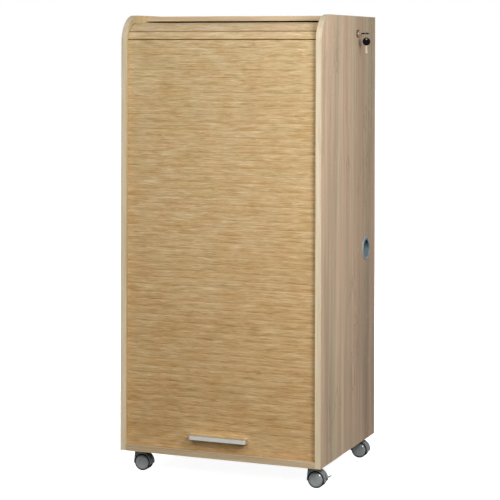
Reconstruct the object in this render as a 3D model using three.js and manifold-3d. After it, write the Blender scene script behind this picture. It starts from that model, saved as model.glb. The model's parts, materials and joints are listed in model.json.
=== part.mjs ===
// Mobile bedside storage cabinet with a roller shutter front, side lock, cable outlet and twin-wheel castors.
// Millimetres, +Z up, +X to the right seen from the front, the front faces -Y.
// The origin is the centre of the carcass underside. The floor is CASTOR_H below it.

import * as THREE from "three";
import { mergeVertices } from "three/addons/utils/BufferGeometryUtils.js";
import Module from "manifold-3d";

const wasm = await Module();
wasm.setup();

// Carcass
const CARCASS_W = 519;
const CARCASS_D = 414;
const CARCASS_H = 1065;
const SIDE_T = 14;
const BOARD_T = 15;
const EDGING_T = 1;
const SIDE_CORNER_R = 65;
const TOP_DROP = 2;
const TOP_BOARD_T = 12;
const TOP_SETBACK = 115;
const BACK_T = 4;
const BACK_INSET = 5;
const INNER_TOP_T = 8;
const INNER_TOP_GAP = 31;
const SHELF_COUNT = 3;
const SHELF_FRONT_GAP = 24;
const INNER_BACK_GAP = 16;

// Roller shutter
const SLAT_PITCH = 18;
const SLAT_T = 8;
const CANVAS_T = 0.8;
const SLAT_GAP = 0.4;
const SHUTTER_RECESS = 10;
const BEND_OUTER_R = 45;
const BEND_TOP_GAP = 5;
const BEND_START_DEG = 4.5;
const BEND_SLATS = 3;
const FRONT_SLATS = 52;
const TOP_SLATS = 11;
const TAIL_BAR_W = 6.9;
const SLAT_TONGUE = 5;
const GROOVE_DEPTH = 6;
const GROOVE_PLAY_OUT = 0.6;
const GROOVE_PLAY_IN = 1.7;
const REAR_GROOVE_END = 200;

// Handle
const HANDLE_L = 148;
const HANDLE_H = 9.2;
const HANDLE_T = 8;
const HANDLE_STANDOFF = 20;
const HANDLE_R = 6;
const HANDLE_INNER_R = 3;
const HANDLE_LEG_W = 14;
const HANDLE_HOLES = 128;
const HANDLE_TOP_T = 2.5;
const HANDLE_Z = 48.3;
const HANDLE_SCREW_R = 2;

// Lock and keys
const LOCK_Y = 63.2;
const LOCK_DROP = 43.4;
const LOCK_BODY_R = 8;
const LOCK_BODY_L = 20;
const PLUG_R = 6;
const PLUG_OUT = 2.6;
const ROSETTE_R = 10;
const ROSETTE_T = 2.2;
const CAM_REACH = 18.8;
const CAM_W = 8;
const CAM_T = 1.8;
const KEY_BOW_R = 9.8;
const KEY_BOW_T = 3.2;
const KEY_HOLE_R = 2.4;
const KEY_RIM = 1.5;
const KEY_BLADE_W = 5;
const KEY_BLADE_T = 1.2;
const KEY_BLADE_L = 19.5;
const KEY_NECK = 7;
const RING_R = 8.2;
const RING_WIRE_R = 0.6;

// Cable outlet
const OUTLET_Y = 132.7;
const OUTLET_Z = 482;
const OUTLET_HOLE_R = 25;
const OUTLET_FLANGE_R = 29;
const OUTLET_FLANGE_T = 2.5;

// Castors
const CASTOR_H = 53;
const STEM_INSET_X = 33.5;
const STEM_INSET_Y = 43.7;
const TRAIL = 10.5;
const WHEEL_R = 20;
const WHEEL_IN = 4.4;
const WHEEL_OUT = 15.5;
const HOOD_R = 23;
const HOOD_HALF_W = 12;
const WEB_HALF_W = 4;
const STEM_R = 4;
const STEM_PLATE_R = 11;
const STEM_PLATE_T = 2;
const AXLE_R = 2.5;

// Derived places
const SIDE_X = CARCASS_W / 2;
const INNER_X = SIDE_X - SIDE_T;
const FRONT_Y = -CARCASS_D / 2;
const REAR_Y = CARCASS_D / 2;
const BACK_Y = REAR_Y - BACK_INSET - BACK_T;
const SHUTTER_Y = FRONT_Y + SHUTTER_RECESS;
const BEND_BACK_R = BEND_OUTER_R - SLAT_T;
const BEND_Y = SHUTTER_Y + BEND_OUTER_R;
const BEND_Z = CARCASS_H - TOP_DROP - TOP_BOARD_T - BEND_TOP_GAP - BEND_OUTER_R;
const BEND_STEP = 2 * Math.asin(SLAT_PITCH / 2 / BEND_BACK_R);
const BEND_START = THREE.MathUtils.degToRad(BEND_START_DEG);
const RAIL_TOP = BEND_Z + BEND_BACK_R * Math.sin(BEND_START) - FRONT_SLATS * SLAT_PITCH;
const SLAT_HALF_L = INNER_X + SLAT_TONGUE;
const GROOVE_OUT_R = BEND_OUTER_R + GROOVE_PLAY_OUT;
const GROOVE_IN_R = BEND_BACK_R - GROOVE_PLAY_IN;
const REAR_BEND_Y = BACK_Y - 1.6 - GROOVE_OUT_R;
const INNER_TOP_Z = CARCASS_H - INNER_TOP_GAP - INNER_TOP_T;
const INNER_BACK_Y = BACK_Y - INNER_BACK_GAP;
const LOCK_Z = CARCASS_H - LOCK_DROP;
const BOW_X = SIDE_X + PLUG_OUT + KEY_NECK + KEY_BOW_R;
const BOW_HOLE_OFFSET = KEY_BOW_R - KEY_RIM - KEY_HOLE_R;
const RING_X = BOW_X + BOW_HOLE_OFFSET;
const RING_Y = LOCK_Y - 6.9;
const RING_Z = LOCK_Z - 4.2;

// Finishes
const finish = (color, roughness, metalness = 0) => ({ color, roughness, metalness });
const SIDE_DECOR = finish(0xb9a184, 0.6);
const EDGE_DECOR = finish(0xd9c7a6, 0.5);
const TOP_DECOR = finish(0xcdb795, 0.55);
const INSIDE_DECOR = finish(0xbfa685, 0.65);
const SHUTTER_DECOR = finish(0xbd9c6b, 0.5);
const CANVAS = finish(0x8a7a62, 0.95);
const HARDBOARD = finish(0xa88d6b, 0.8);
const ALUMINIUM = finish(0xb9bcbe, 0.35, 0.9);
const STEEL = finish(0x9ea2a6, 0.3, 0.95);
const LOCK_METAL = finish(0x7c6a4a, 0.4, 0.8);
const KEY_METAL = finish(0xc9c2b8, 0.3, 0.9);
const BLACK_PLASTIC = finish(0x141615, 0.35);
const OUTLET_PLASTIC = finish(0x9aa3a4, 0.45);
const OUTLET_CAP = finish(0x4f6b73, 0.45);
const HOOD_PLASTIC = finish(0x7b8281, 0.4);
const WHEEL_PLASTIC = finish(0x858c89, 0.35);

// Turns a three.js geometry into one closed, outward-facing solid.
function solid(geometry) {
  geometry.deleteAttribute("normal");
  geometry.deleteAttribute("uv");
  const merged = mergeVertices(geometry, 1e-4);
  const position = merged.getAttribute("position");
  const index = merged.getIndex();
  const triangles = [];
  for (let i = 0; i < index.count; i += 3) {
    const a = index.getX(i);
    const b = index.getX(i + 1);
    const c = index.getX(i + 2);
    if (a !== b && b !== c && c !== a) triangles.push(a, b, c);
  }
  const vertices = new Float32Array(position.array);
  if (signedVolume(vertices, triangles) < 0) triangles.reverse();
  return new wasm.Manifold(
    new wasm.Mesh({ numProp: 3, vertProperties: vertices, triVerts: new Uint32Array(triangles) }),
  );
}

function signedVolume(vertices, triangles) {
  const point = (i) => new THREE.Vector3().fromArray(vertices, 3 * i);
  let sum = 0;
  for (let i = 0; i < triangles.length; i += 3) {
    sum += point(triangles[i]).dot(point(triangles[i + 1]).cross(point(triangles[i + 2])));
  }
  return sum / 6;
}

const add = (...solids) => solids.reduce((a, b) => a.add(b));
const cut = (body, ...tools) => tools.reduce((a, b) => a.subtract(b), body);

// A prism over a profile. The profile's two coordinates are named by the plane.
function prism(plane, points, low, high) {
  const pairs = plane === "xz" ? points.map(([x, z]) => [z, x]) : points;
  const shape = new THREE.Shape(pairs.map(([u, v]) => new THREE.Vector2(u, v)));
  const geometry = new THREE.ExtrudeGeometry(shape, { depth: high - low, bevelEnabled: false });
  geometry.translate(0, 0, low);
  const axes = {
    xy: [[1, 0, 0], [0, 1, 0], [0, 0, 1]],
    yz: [[0, 1, 0], [0, 0, 1], [1, 0, 0]],
    xz: [[0, 0, 1], [1, 0, 0], [0, 1, 0]],
  }[plane].map((v) => new THREE.Vector3(...v));
  geometry.applyMatrix4(new THREE.Matrix4().makeBasis(...axes));
  return solid(geometry);
}

function box(x0, x1, y0, y1, z0, z1) {
  const geometry = new THREE.BoxGeometry(x1 - x0, y1 - y0, z1 - z0);
  geometry.translate((x0 + x1) / 2, (y0 + y1) / 2, (z0 + z1) / 2);
  return solid(geometry);
}

function arc(u, v, r, fromDeg, toDeg, steps) {
  const points = [];
  for (let i = 0; i <= steps; i++) {
    const t = THREE.MathUtils.degToRad(fromDeg + ((toDeg - fromDeg) * i) / steps);
    points.push([u + r * Math.cos(t), v + r * Math.sin(t)]);
  }
  return points;
}

const circle = (u, v, r, steps) => arc(u, v, r, 0, 360, steps).slice(0, -1);
const rodX = (y, z, r, x0, x1, steps = 28) => prism("yz", circle(y, z, r, steps), x0, x1);
const rodY = (x, z, r, y0, y1, steps = 20) => prism("xz", circle(x, z, r, steps), y0, y1);
const rodZ = (x, y, r, z0, z1, steps = 20) => prism("xy", circle(x, y, r, steps), z0, z1);

const model = new THREE.Group();
model.name = "roller_shutter_cabinet";

function piece(name, body, look) {
  const mesh = body.getMesh();
  const geometry = new THREE.BufferGeometry();
  geometry.setAttribute("position", new THREE.BufferAttribute(new Float32Array(mesh.vertProperties), 3));
  geometry.setIndex([...mesh.triVerts]);
  const material = new THREE.MeshStandardMaterial({ ...look, flatShading: true });
  const part = new THREE.Mesh(geometry, material);
  part.name = name;
  model.add(part);
}

// Carcass: the side panels carry the shutter groove, routed in their inner faces.
function sideOutline(inset) {
  const front = FRONT_Y + inset;
  const top = CARCASS_H - inset;
  return [
    [front, 0],
    ...arc(FRONT_Y + SIDE_CORNER_R, CARCASS_H - SIDE_CORNER_R, SIDE_CORNER_R - inset, 180, 90, 16),
    [REAR_Y, top],
  ];
}

function shutterGroove(x0, x1) {
  const outer = [
    [BEND_Y - GROOVE_OUT_R, BOARD_T],
    ...arc(BEND_Y, BEND_Z, GROOVE_OUT_R, 180, 90, 12),
    ...arc(REAR_BEND_Y, BEND_Z, GROOVE_OUT_R, 90, 0, 12),
    [REAR_BEND_Y + GROOVE_OUT_R, REAR_GROOVE_END],
  ];
  const inner = [
    [REAR_BEND_Y + GROOVE_IN_R, REAR_GROOVE_END],
    ...arc(REAR_BEND_Y, BEND_Z, GROOVE_IN_R, 0, 90, 12),
    ...arc(BEND_Y, BEND_Z, GROOVE_IN_R, 90, 180, 12),
    [BEND_Y - GROOVE_IN_R, BOARD_T],
  ];
  return prism("yz", [...outer, ...inner], x0, x1);
}

function sides() {
  const outline = [...sideOutline(EDGING_T), [REAR_Y, 0]];
  const edging = [...sideOutline(0), ...sideOutline(EDGING_T).reverse()];
  const left = cut(
    prism("yz", outline, -SIDE_X, -INNER_X),
    shutterGroove(-INNER_X - GROOVE_DEPTH, -INNER_X + 1),
  );
  const right = cut(
    prism("yz", outline, INNER_X, SIDE_X),
    shutterGroove(INNER_X - 1, INNER_X + GROOVE_DEPTH),
    rodX(LOCK_Y, LOCK_Z, LOCK_BODY_R + 0.05, INNER_X - 1, SIDE_X + 1),
    rodX(OUTLET_Y, OUTLET_Z, OUTLET_HOLE_R, INNER_X - 1, SIDE_X + 1, 36),
  );
  piece("side_panel_left", left, SIDE_DECOR);
  piece("side_panel_right", right, SIDE_DECOR);
  piece("side_edging_left", prism("yz", edging, -SIDE_X, -INNER_X), EDGE_DECOR);
  piece("side_edging_right", prism("yz", edging, INNER_X, SIDE_X), EDGE_DECOR);
}

function stemPlaces() {
  const places = [];
  for (const [end, y] of [["front", FRONT_Y + STEM_INSET_Y], ["rear", REAR_Y - STEM_INSET_Y]]) {
    for (const [hand, x] of [["left", -SIDE_X + STEM_INSET_X], ["right", SIDE_X - STEM_INSET_X]]) {
      places.push({ name: `${end}_${hand}`, x, y });
    }
  }
  return places;
}

function boards() {
  const topZ = CARCASS_H - TOP_DROP;
  const topFront = FRONT_Y + TOP_SETBACK;
  const stemHoles = stemPlaces().map(({ x, y }) => add(
    rodZ(x, y, STEM_R + 0.05, -1, 12),
    rodZ(x, y, STEM_PLATE_R + 0.05, -1, STEM_PLATE_T, 28),
  ));
  const cross = (y0, y1, z0, z1) => box(-INNER_X, INNER_X, y0, y1, z0, z1);
  piece("bottom_board", cut(cross(FRONT_Y + EDGING_T, BACK_Y, 0, BOARD_T), ...stemHoles), TOP_DECOR);
  piece("bottom_edging", cross(FRONT_Y, FRONT_Y + EDGING_T, 0, BOARD_T), EDGE_DECOR);
  piece("top_board", cross(topFront + EDGING_T, BACK_Y, topZ - TOP_BOARD_T, topZ), TOP_DECOR);
  piece("top_edging", cross(topFront, topFront + EDGING_T, topZ - TOP_BOARD_T, topZ), EDGE_DECOR);
  piece("back_panel", cross(BACK_Y, BACK_Y + BACK_T, 0, topZ), HARDBOARD);
  piece("inner_back", cross(INNER_BACK_Y - BACK_T, INNER_BACK_Y, BOARD_T, INNER_TOP_Z), INSIDE_DECOR);
  const camNotch = box(
    INNER_X - 12, INNER_X + 1,
    LOCK_Y - 25, LOCK_Y + 11,
    INNER_TOP_Z - 1, INNER_TOP_Z + 20,
  );
  const innerTop = cross(BEND_Y - 3, INNER_BACK_Y, INNER_TOP_Z, INNER_TOP_Z + INNER_TOP_T);
  piece("inner_top", cut(innerTop, camNotch), INSIDE_DECOR);
}

function shelves() {
  const bay = (INNER_TOP_Z - BOARD_T - SHELF_COUNT * BOARD_T) / (SHELF_COUNT + 1);
  const names = ["shelf_lower", "shelf_middle", "shelf_upper"];
  for (let i = 0; i < SHELF_COUNT; i++) {
    const z = BOARD_T + (i + 1) * bay + i * BOARD_T;
    const front = FRONT_Y + SHELF_FRONT_GAP;
    const board = box(-INNER_X, INNER_X, front, INNER_BACK_Y - BACK_T, z, z + BOARD_T);
    piece(names[i], board, INSIDE_DECOR);
  }
}

// Shutter: slats on a canvas backing. A run of slats is a strip with narrow joints cut down to the canvas.
function slatRun(length, slats) {
  const points = [[0, SLAT_T], [0, 0]];
  for (let i = 1; i < slats; i++) {
    const joint = (length * i) / slats;
    points.push([joint - SLAT_GAP / 2, 0]);
    points.push([joint - SLAT_GAP / 2, SLAT_T - CANVAS_T]);
    points.push([joint + SLAT_GAP / 2, SLAT_T - CANVAS_T]);
    points.push([joint + SLAT_GAP / 2, 0]);
  }
  points.push([length, 0], [length, SLAT_T]);
  return points;
}

function bendPoint(i, r = BEND_BACK_R) {
  const t = BEND_START + i * BEND_STEP;
  return new THREE.Vector2(BEND_Y - r * Math.cos(t), BEND_Z + r * Math.sin(t));
}

function shutter() {
  const clear = SLAT_GAP / 2;
  const frontTop = bendPoint(0).y - clear;
  const frontLength = frontTop - RAIL_TOP - clear;
  const front = slatRun(frontLength, FRONT_SLATS).map(([s, t]) => [SHUTTER_Y + t, RAIL_TOP + clear + s]);
  piece("shutter_front", prism("yz", front, -SLAT_HALF_L, SLAT_HALF_L), SHUTTER_DECOR);

  for (let i = 0; i < BEND_SLATS; i++) {
    const start = bendPoint(i);
    const along = bendPoint(i + 1).sub(start).normalize();
    const out = new THREE.Vector2(-along.y, along.x);
    const corner = (s, t) => start.clone().addScaledVector(along, s).addScaledVector(out, t).toArray();
    const end = SLAT_PITCH - clear;
    const slat = [corner(clear, CANVAS_T), corner(end, CANVAS_T), corner(end, SLAT_T), corner(clear, SLAT_T)];
    piece(`bend_slat_${i + 1}`, prism("yz", slat, -SLAT_HALF_L, SLAT_HALF_L), SHUTTER_DECOR);
  }

  const steps = Array.from({ length: BEND_SLATS + 1 }, (_, i) => i);
  const canvasIn = steps.map((i) => bendPoint(i).toArray());
  const canvasOut = steps.map((i) => bendPoint(i, BEND_BACK_R + CANVAS_T).toArray()).reverse();
  piece("bend_canvas", prism("yz", [...canvasIn, ...canvasOut], -SLAT_HALF_L, SLAT_HALF_L), CANVAS);

  const runStart = bendPoint(BEND_SLATS).x + clear + 0.3;
  const runLength = TOP_SLATS * SLAT_PITCH;
  const runTop = BEND_Z + BEND_OUTER_R;
  const run = slatRun(runLength, TOP_SLATS).map(([s, t]) => [runStart + s, runTop - t]);
  piece("shutter_top_run", prism("yz", run, -SLAT_HALF_L, SLAT_HALF_L), SHUTTER_DECOR);
  const barStart = runStart + runLength;
  const bar = box(-SLAT_HALF_L, SLAT_HALF_L, barStart, barStart + TAIL_BAR_W, runTop - SLAT_T, runTop);
  piece("tail_bar", bar, ALUMINIUM);
}

// The handle is a straight pull on the lead rail, closed on top and open below for the fingers.
function leadRail() {
  const y0 = SHUTTER_Y;
  const y1 = SHUTTER_Y + SLAT_T;
  const screwX = HANDLE_HOLES / 2;
  const holes = [-screwX, screwX].map((x) => rodY(x, HANDLE_Z, HANDLE_SCREW_R + 0.1, y0 - 1, y1 + 1));
  const rail = box(-SLAT_HALF_L, SLAT_HALF_L, y0, y1, BOARD_T + 0.5, RAIL_TOP - SLAT_GAP / 2);
  piece("lead_rail", cut(rail, ...holes), SHUTTER_DECOR);

  const half = HANDLE_L / 2;
  const front = y0 - HANDLE_STANDOFF;
  const inner = half - HANDLE_LEG_W;
  const innerX = inner - HANDLE_INNER_R;
  const innerY = front + HANDLE_T + HANDLE_INNER_R;
  const bow = [
    [-half, y0],
    ...arc(-half + HANDLE_R, front + HANDLE_R, HANDLE_R, 180, 270, 6),
    ...arc(half - HANDLE_R, front + HANDLE_R, HANDLE_R, 270, 360, 6),
    [half, y0],
    [inner, y0],
    ...arc(innerX, innerY, HANDLE_INNER_R, 0, -90, 4),
    ...arc(-innerX, innerY, HANDLE_INNER_R, -90, -180, 4),
    [-inner, y0],
  ];
  const sockets = [-screwX, screwX].map((x) => rodY(x, HANDLE_Z, HANDLE_SCREW_R, y0 - 10, y0 + 1));
  const gripTop = HANDLE_Z + HANDLE_H / 2;
  const grip = add(
    prism("xy", bow, HANDLE_Z - HANDLE_H / 2, gripTop),
    box(-inner - 1, inner + 1, front + 1, y0, gripTop - HANDLE_TOP_T, gripTop),
  );
  piece("handle", cut(grip, ...sockets), ALUMINIUM);

  for (const [side, x] of [["left", -screwX], ["right", screwX]]) {
    const shank = rodY(x, HANDLE_Z, HANDLE_SCREW_R, y0 - 9, y1 + 1);
    const head = rodY(x, HANDLE_Z, 2 * HANDLE_SCREW_R, y1, y1 + 2.2);
    const slot = box(x - 3, x + 3, y1 + 1.4, y1 + 3, HANDLE_Z - 0.5, HANDLE_Z + 0.5);
    piece(`handle_screw_${side}`, cut(add(shank, head), slot), STEEL);
  }
}

// Lock: a cam lock through the right side panel. Its cam stands behind the shutter's tail bar when locked.
function keyBlade(length) {
  const half = KEY_BLADE_W / 2;
  const points = [[0, -half], [0, half]];
  const teeth = 4;
  for (let i = 0; i < teeth; i++) {
    const s = length * (0.3 + (0.6 * i) / teeth);
    points.push([s, half], [s + 1.2, half - 1.2], [s + 1.8, half - 1.2], [s + 3, half]);
  }
  points.push([length - 1.5, half], [length, half - 1.5], [length, -half + 1.5], [length - 1.5, -half]);
  return points;
}

function keyBow(plane, centre, hole, low, high, blade) {
  const disc = prism(plane, circle(...centre, KEY_BOW_R, 30), low, high);
  const eye = prism(plane, circle(...hole, KEY_HOLE_R, 16), low - 1, high + 1);
  return cut(disc, eye, blade);
}

function lock() {
  const bodyIn = SIDE_X - LOCK_BODY_L;
  const barrel = cut(
    rodX(LOCK_Y, LOCK_Z, LOCK_BODY_R, bodyIn, SIDE_X),
    rodX(LOCK_Y, LOCK_Z, PLUG_R + 0.1, bodyIn - 1, SIDE_X + 1),
  );
  piece("lock_body", barrel, LOCK_METAL);
  const rosette = cut(
    rodX(LOCK_Y, LOCK_Z, ROSETTE_R, SIDE_X, SIDE_X + ROSETTE_T),
    rodX(LOCK_Y, LOCK_Z, PLUG_R + 0.2, SIDE_X - 1, SIDE_X + 3),
  );
  piece("lock_rosette", rosette, LOCK_METAL);

  const bowEdge = BOW_X - KEY_BOW_R;
  const bladeRoot = bowEdge + 3;
  const bladeTip = bowEdge - KEY_BLADE_L;
  const keyway = box(
    bladeTip - 0.5, SIDE_X + PLUG_OUT + 1,
    LOCK_Y - KEY_BLADE_W / 2 - 0.1, LOCK_Y + KEY_BLADE_W / 2 + 0.1,
    LOCK_Z - KEY_BLADE_T / 2 - 0.1, LOCK_Z + KEY_BLADE_T / 2 + 0.1,
  );
  const camX = bodyIn - 0.4 - CAM_T;
  const plug = add(
    rodX(LOCK_Y, LOCK_Z, PLUG_R, bodyIn - 0.4, SIDE_X + PLUG_OUT),
    rodX(LOCK_Y, LOCK_Z, 3, camX - 2.4, bodyIn, 20),
  );
  piece("lock_plug", cut(plug, keyway), STEEL);

  const half = CAM_W / 2;
  const cam = [
    ...arc(LOCK_Y, LOCK_Z, 6, 180 - 40, 360 + 40, 18),
    [LOCK_Y + half, LOCK_Z + CAM_REACH - 2],
    [LOCK_Y + half - 2, LOCK_Z + CAM_REACH],
    [LOCK_Y - half + 2, LOCK_Z + CAM_REACH],
    [LOCK_Y - half, LOCK_Z + CAM_REACH - 2],
  ];
  const camPlate = cut(
    prism("yz", cam, camX, camX + CAM_T),
    rodX(LOCK_Y, LOCK_Z, 3.02, camX - 1, camX + CAM_T + 1, 20),
  );
  piece("lock_cam", camPlate, STEEL);
  const nut = cut(
    rodX(LOCK_Y, LOCK_Z, 5, camX - 2, camX, 6),
    rodX(LOCK_Y, LOCK_Z, 3.02, camX - 3, camX + 1, 20),
  );
  piece("lock_cam_nut", nut, STEEL);

  const bladeProfile = keyBlade(bladeRoot - bladeTip).map(([s, t]) => [bladeRoot - s, LOCK_Y + t]);
  const blade = prism("xy", bladeProfile, LOCK_Z - KEY_BLADE_T / 2, LOCK_Z + KEY_BLADE_T / 2);
  piece("key_blade", blade, KEY_METAL);
  const bow = keyBow(
    "xy", [BOW_X, LOCK_Y], [RING_X, LOCK_Y], LOCK_Z - KEY_BOW_T / 2, LOCK_Z + KEY_BOW_T / 2, blade,
  );
  piece("key_bow", bow, BLACK_PLASTIC);
}

function spareKey() {
  const ring = new THREE.TorusGeometry(RING_R, RING_WIRE_R, 6, 24);
  ring.rotateY(Math.PI / 2);
  ring.translate(RING_X, RING_Y, RING_Z);
  piece("key_ring", solid(ring), KEY_METAL);

  const holeZ = RING_Z - RING_R + RING_WIRE_R + 0.25 - KEY_HOLE_R;
  const bowZ = holeZ - BOW_HOLE_OFFSET;
  const bladeTop = bowZ - KEY_BOW_R + 3;
  const profile = keyBlade(KEY_BLADE_L + 3).map(([s, t]) => [RING_X + t, bladeTop - s]);
  const blade = prism("xz", profile, RING_Y - KEY_BLADE_T / 2, RING_Y + KEY_BLADE_T / 2);
  piece("spare_key_blade", blade, KEY_METAL);
  const bow = keyBow(
    "xz", [RING_X, bowZ], [RING_X, holeZ], RING_Y - KEY_BOW_T / 2, RING_Y + KEY_BOW_T / 2, blade,
  );
  piece("spare_key_bow", bow, BLACK_PLASTIC);
}

// Cable outlet: a flanged sleeve in the right side panel with a turning cap that closes half of it.
function cableOutlet() {
  const seat = SIDE_X - 1;
  const sleeve = cut(
    add(
      rodX(OUTLET_Y, OUTLET_Z, OUTLET_HOLE_R - 0.05, INNER_X + 1, SIDE_X + 1, 36),
      rodX(OUTLET_Y, OUTLET_Z, OUTLET_FLANGE_R, SIDE_X, SIDE_X + OUTLET_FLANGE_T, 36),
    ),
    rodX(OUTLET_Y, OUTLET_Z, OUTLET_HOLE_R - 3.5, INNER_X, SIDE_X + 5, 36),
    rodX(OUTLET_Y, OUTLET_Z, OUTLET_HOLE_R - 1.8, seat, SIDE_X + 5, 36),
  );
  piece("outlet_sleeve", sleeve, OUTLET_PLASTIC);
  const capR = OUTLET_HOLE_R - 2.1;
  const mouth = arc(OUTLET_Y, OUTLET_Z, capR - 2.4, 0, 180, 18);
  const cap = cut(
    rodX(OUTLET_Y, OUTLET_Z, capR, seat + 0.2, SIDE_X + 1.6, 36),
    prism("yz", mouth, seat - 1, SIDE_X + 5),
  );
  piece("outlet_cap", cap, OUTLET_CAP);
}

// Castors: the hood turns on a stem, whose plate is let in flush with the bottom board's underside,
// and carries an axle with two wheels.
function hood(x, y, braked) {
  const wx = x + TRAIL;
  const wz = WHEEL_R - CASTOR_H;
  const outline = [
    ...arc(wx, wz, HOOD_R, -10, 68, 10),
    [x + 13.5, -9],
    [x + 9.5, -5.5],
    [x + 9, -2.3],
    [x - 8.5, -2.3],
    [x - 11.8, wz],
    [x - 11.8, wz - 3],
    [x + 3, wz - 8],
    [x + 20, wz - 8],
  ];
  const wells = [WEB_HALF_W, -HOOD_HALF_W - 1].map((low) =>
    rodY(wx, wz, WHEEL_R + 0.5, y + low, y + low + HOOD_HALF_W + 1 - WEB_HALF_W, 32),
  );
  const tools = [
    ...wells,
    rodZ(x, y, STEM_R + 0.08, -11.5, 0),
    rodY(wx, wz, AXLE_R + 0.02, y - WEB_HALF_W - 1, y + WEB_HALF_W + 1),
  ];
  if (braked) {
    const pivot = brakePivot(x);
    tools.push(box(wx + 12.5, wx + HOOD_R + 1, y - 2.6, y + 2.6, wz - 12, wz + 12));
    tools.push(rodY(pivot.x, pivot.z, 1.18, y - WEB_HALF_W - 1, y + WEB_HALF_W + 1, 12));
  }
  return cut(prism("xz", outline, y - HOOD_HALF_W, y + HOOD_HALF_W), ...tools);
}

function brakePivot(x) {
  return { x: x + TRAIL + 17.3, z: WHEEL_R - CASTOR_H + 2.4 };
}

function brakeLever(x, y) {
  const pivot = brakePivot(x);
  const tilt = THREE.MathUtils.degToRad(21.6);
  const at = (s, t) => [
    pivot.x + s * Math.cos(tilt) - t * Math.sin(tilt),
    pivot.z + s * Math.sin(tilt) + t * Math.cos(tilt),
  ];
  const arm = [at(0, -1.2), at(8, -1), at(8, 0.9), at(0, 1.2)];
  const pedal = [
    at(7.2, -1.4), at(16, -1.3), at(18.6, 0.4), at(18.4, 2.4),
    at(16.6, 2.3), at(15.4, 1.3), at(7.2, 1.4),
  ];
  return add(
    rodY(pivot.x, pivot.z, 2.3, y - 2.3, y + 2.3, 16),
    rodY(pivot.x, pivot.z, 1.1, y - 3.9, y + 3.9, 12),
    prism("xz", arm, y - 2.3, y + 2.3),
    prism("xz", pedal, y - 5, y + 5),
  );
}

function wheel(x, y, side) {
  const faces = [
    [0, WHEEL_OUT],
    [14.4, WHEEL_OUT - 0.4],
    [16.8, WHEEL_OUT - 1.7],
    [19, WHEEL_OUT - 1.7],
    [WHEEL_R, WHEEL_OUT - 2.9],
    [WHEEL_R, WHEEL_IN + 1.2],
    [18.8, WHEEL_IN],
    [AXLE_R + 0.06, WHEEL_IN],
    [AXLE_R + 0.06, WHEEL_OUT - 2.2],
    [0, WHEEL_OUT - 2.2],
  ];
  const profile = faces.map(([r, s]) => new THREE.Vector2(r, side * s));
  const geometry = new THREE.LatheGeometry(profile, 32);
  geometry.translate(x + TRAIL, y, WHEEL_R - CASTOR_H);
  return solid(geometry);
}

function castor({ name, x, y }) {
  const braked = name === "front_right" || name === "rear_left";
  const stem = add(
    rodZ(x, y, STEM_PLATE_R, 0, STEM_PLATE_T, 28),
    rodZ(x, y, STEM_R, -10.5, 11.8),
  );
  piece(`stem_${name}`, stem, STEEL);
  piece(`hood_${name}`, hood(x, y, braked), HOOD_PLASTIC);
  const axleHalf = WHEEL_OUT - 2.6;
  piece(`axle_${name}`, rodY(x + TRAIL, WHEEL_R - CASTOR_H, AXLE_R, y - axleHalf, y + axleHalf), STEEL);
  piece(`wheel_outer_${name}`, wheel(x, y, -1), WHEEL_PLASTIC);
  piece(`wheel_inner_${name}`, wheel(x, y, 1), WHEEL_PLASTIC);
  if (braked) piece(`brake_${name}`, brakeLever(x, y), WHEEL_PLASTIC);
}

sides();
boards();
shelves();
shutter();
leadRail();
lock();
spareKey();
cableOutlet();
stemPlaces().forEach(castor);

export default model;
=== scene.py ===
# A mobile roller-shutter cabinet in two oak decors, on four twin-wheel castors.
# Metres, +Z up, the front faces -Y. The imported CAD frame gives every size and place.

import json
import math

import bmesh
import bpy
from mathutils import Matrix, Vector

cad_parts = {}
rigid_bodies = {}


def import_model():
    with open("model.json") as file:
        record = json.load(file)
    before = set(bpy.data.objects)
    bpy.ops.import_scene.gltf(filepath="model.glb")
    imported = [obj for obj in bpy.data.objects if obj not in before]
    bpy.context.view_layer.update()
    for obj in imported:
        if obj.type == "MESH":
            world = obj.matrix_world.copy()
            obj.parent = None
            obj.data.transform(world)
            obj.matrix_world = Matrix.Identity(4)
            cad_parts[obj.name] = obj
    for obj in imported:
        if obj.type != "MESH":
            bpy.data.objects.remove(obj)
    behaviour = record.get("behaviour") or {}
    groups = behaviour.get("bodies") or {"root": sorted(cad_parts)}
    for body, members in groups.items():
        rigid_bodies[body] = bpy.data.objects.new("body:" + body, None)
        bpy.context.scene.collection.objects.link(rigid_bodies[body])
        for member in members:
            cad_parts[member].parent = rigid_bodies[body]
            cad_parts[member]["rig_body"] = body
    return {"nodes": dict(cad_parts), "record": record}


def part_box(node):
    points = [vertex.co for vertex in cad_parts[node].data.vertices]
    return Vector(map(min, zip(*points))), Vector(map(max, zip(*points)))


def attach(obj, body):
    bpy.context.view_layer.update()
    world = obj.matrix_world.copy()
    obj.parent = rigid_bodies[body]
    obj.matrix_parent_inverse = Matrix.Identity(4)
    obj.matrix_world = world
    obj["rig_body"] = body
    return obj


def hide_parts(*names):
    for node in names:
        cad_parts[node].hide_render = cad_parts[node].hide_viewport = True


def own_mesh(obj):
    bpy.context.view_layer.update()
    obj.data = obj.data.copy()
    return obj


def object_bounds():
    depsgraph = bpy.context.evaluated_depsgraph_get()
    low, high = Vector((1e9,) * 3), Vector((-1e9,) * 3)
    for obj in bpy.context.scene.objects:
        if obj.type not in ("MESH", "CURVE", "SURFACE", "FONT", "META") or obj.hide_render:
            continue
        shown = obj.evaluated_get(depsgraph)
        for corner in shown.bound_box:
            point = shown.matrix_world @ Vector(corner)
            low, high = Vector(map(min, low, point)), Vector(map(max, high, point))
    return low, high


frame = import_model()
CAD_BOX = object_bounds()

MM = 0.001
NODES = frame["nodes"]
SLOT_OF = {row["node"]: row["material_slot"] for row in frame["record"]["subparts"]}
CASTORS = ("front_left", "front_right", "rear_left", "rear_right")
BRAKED_CASTORS = ("front_right", "rear_left")

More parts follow.
